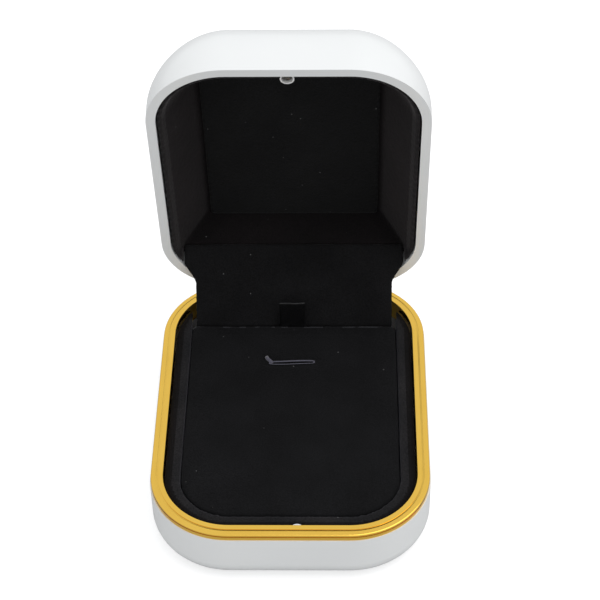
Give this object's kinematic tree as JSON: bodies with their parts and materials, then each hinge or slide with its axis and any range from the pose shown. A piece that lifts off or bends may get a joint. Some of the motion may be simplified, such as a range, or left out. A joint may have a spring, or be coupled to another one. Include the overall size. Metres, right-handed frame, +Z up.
{
  "type": "jewelry gift box",
  "caption": "Hinged presentation box for a pendant: rounded lacquered shells, plated trim, velvet lining, lift-out slit pad with a ribbon tab and a small lamp in the lid.",
  "frame": {"origin": "centre of the flat underside of the base", "axes": "+Z up from the surface it stands on, -Y towards the front where the lid opens, +X to the right seen from the front"},
  "size_m": [0.0706, 0.1065, 0.1078],
  "materials": {
    "white_lacquer": "satin lacquer",
    "gold_plating": "polished plating",
    "white_enamel": "gloss",
    "black_velvet": "velvet pile",
    "nickel_steel": "bright nickel",
    "zinc_screw": "zinc",
    "spring_steel": "blued",
    "grey_board": "matt",
    "foam": "open foam",
    "black_satin": "satin ribbon",
    "silver_bezel": "polished",
    "clear_lamp": "clear resin",
    "black_plastic": "moulded",
    "circuit_board": "solder mask",
    "cell_steel": "satin",
    "lead_cover": "vinyl"
  },
  "bodies": {
    "base": {"base_shell": "white_lacquer", "trim_ring": "gold_plating", "lamp_magnet": "white_enamel", "base_tray": "black_velvet", "hinge_base_leaf": "nickel_steel", "hinge_base_screws": "zinc_screw", "hinge_pin": "nickel_steel", "snap_spring": "spring_steel", "hinge_flap": "black_velvet"},
    "pad": {"pad_board": "grey_board", "pad_foam": "foam", "pad_velvet": "black_velvet", "lift_ribbon": "black_satin"},
    "lid": {"lid_shell": "white_lacquer", "lid_lining": "black_velvet", "lid_panel": "black_velvet", "hinge_lid_leaf": "nickel_steel", "hinge_lid_screws": "zinc_screw", "lamp_bezel": "silver_bezel", "lamp": "clear_lamp", "lamp_holder": "black_plastic", "lamp_board": "circuit_board", "button_cell": "cell_steel", "cell_clip": "nickel_steel", "lamp_leads": "lead_cover"}
  },
  "joints": [
    {"name": "lid_hinge", "type": "hinge", "parent": "base", "child": "lid", "pos_m": [0, 0.0437, 0.0206], "axis": [1, 0, 0], "range_deg": [0, 78], "deforming": ["hinge_flap"]},
    {"name": "pad_lift", "type": "slide", "parent": "base", "child": "pad", "axis": [0, 0, 1], "range_m": [0, 0.0065]}
  ]
}
